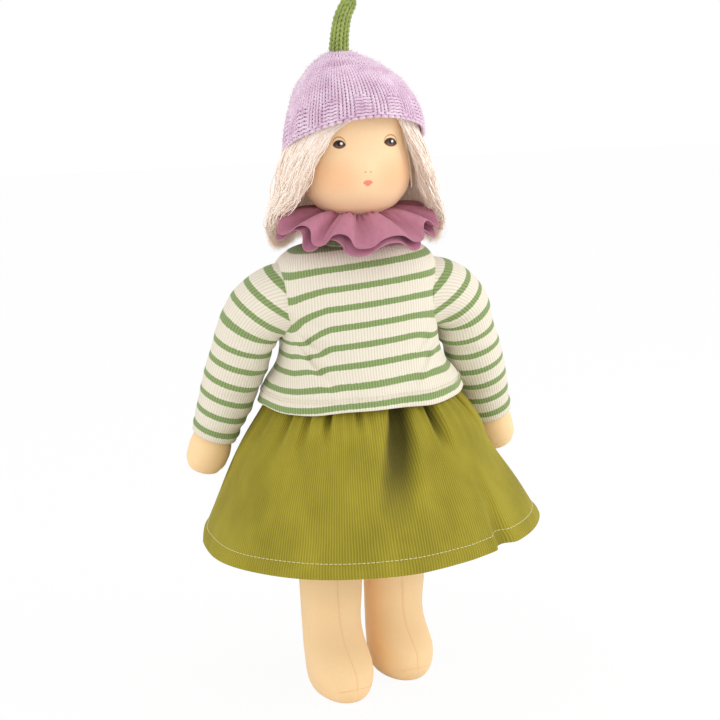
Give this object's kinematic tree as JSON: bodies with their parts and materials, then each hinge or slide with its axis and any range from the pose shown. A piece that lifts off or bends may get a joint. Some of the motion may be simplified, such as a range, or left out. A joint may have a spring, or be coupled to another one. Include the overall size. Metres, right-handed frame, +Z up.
{
  "type": "waldorf doll",
  "caption": "Soft cloth doll with wool-stuffed jersey body, mohair hair, knitted flower cap, ruffled collar, striped sweater and gathered corduroy skirt.",
  "frame": {"origin": "centre of the doll's box, on the floor that its soles stand on", "axes": "+Z up, the face looks along -Y, +X is the doll's own left"},
  "size_m": [0.241, 0.2074, 0.4803],
  "materials": {
    "peach_jersey": "fine cotton jersey, matt",
    "raw_wool": "carded wool, matt",
    "linen_thread": "waxed thread",
    "pale_mohair": "silky mohair",
    "striped_rib_knit": "fine ribbed cotton knit, cream with leaf-green stripes",
    "olive_corduroy": "fine-wale corduroy",
    "white_elastic": "woven elastic",
    "lilac_wool_knit": "hand-knitted wool",
    "green_wool_knit": "knitted wool cord",
    "plum_cotton": "plain-woven cotton"
  },
  "bodies": {
    "torso": {"torso_skin": "peach_jersey", "torso_filling": "raw_wool", "sweater_front": "striped_rib_knit", "sweater_back": "striped_rib_knit", "sweater_neckband": "striped_rib_knit", "collar_band": "plum_cotton", "collar_ruffle": "plum_cotton", "skirt_front": "olive_corduroy", "skirt_back": "olive_corduroy", "waist_elastic": "white_elastic"},
    "head": {"head_skin": "peach_jersey", "head_filling": "raw_wool", "neck_thread": "linen_thread", "wig_base": "raw_wool", "hair_top": "pale_mohair", "hair_left": "pale_mohair", "hair_back": "pale_mohair", "hair_right": "pale_mohair"},
    "cap": {"cap": "lilac_wool_knit", "cap_stem": "green_wool_knit"},
    "arm_left": {"arm_skin_left": "peach_jersey", "arm_filling_left": "raw_wool", "sleeve_left": "striped_rib_knit"},
    "arm_right": {"arm_skin_right": "peach_jersey", "arm_filling_right": "raw_wool", "sleeve_right": "striped_rib_knit"},
    "leg_left": {"leg_skin_left": "peach_jersey", "leg_filling_left": "raw_wool"},
    "leg_right": {"leg_skin_right": "peach_jersey", "leg_filling_right": "raw_wool"}
  },
  "joints": [
    {"name": "neck_turn", "type": "hinge", "parent": "torso", "child": "head", "pos_m": [0, 0, 0.325], "axis": [0, 0, 1], "range_deg": [-25, 25]},
    {"name": "cap_lift", "type": "slide", "parent": "head", "child": "cap", "axis": [0, 0, 1], "range_m": [0, 0.09]},
    {"name": "shoulder_left", "type": "hinge", "parent": "torso", "child": "arm_left", "pos_m": [0.0523, 0, 0.277], "axis": [-1, 0, 0], "range_deg": [-40, 120]},
    {"name": "shoulder_right", "type": "hinge", "parent": "torso", "child": "arm_right", "pos_m": [-0.0523, 0, 0.277], "axis": [-1, 0, 0], "range_deg": [-40, 120]},
    {"name": "hip_left", "type": "hinge", "parent": "torso", "child": "leg_left", "pos_m": [0.025, 0, 0.172], "axis": [-1, 0, 0], "range_deg": [-20, 90], "deforming": ["skirt_front", "skirt_back"]},
    {"name": "hip_right", "type": "hinge", "parent": "torso", "child": "leg_right", "pos_m": [-0.025, 0, 0.172], "axis": [-1, 0, 0], "range_deg": [-20, 90], "deforming": ["skirt_front", "skirt_back"]}
  ]
}
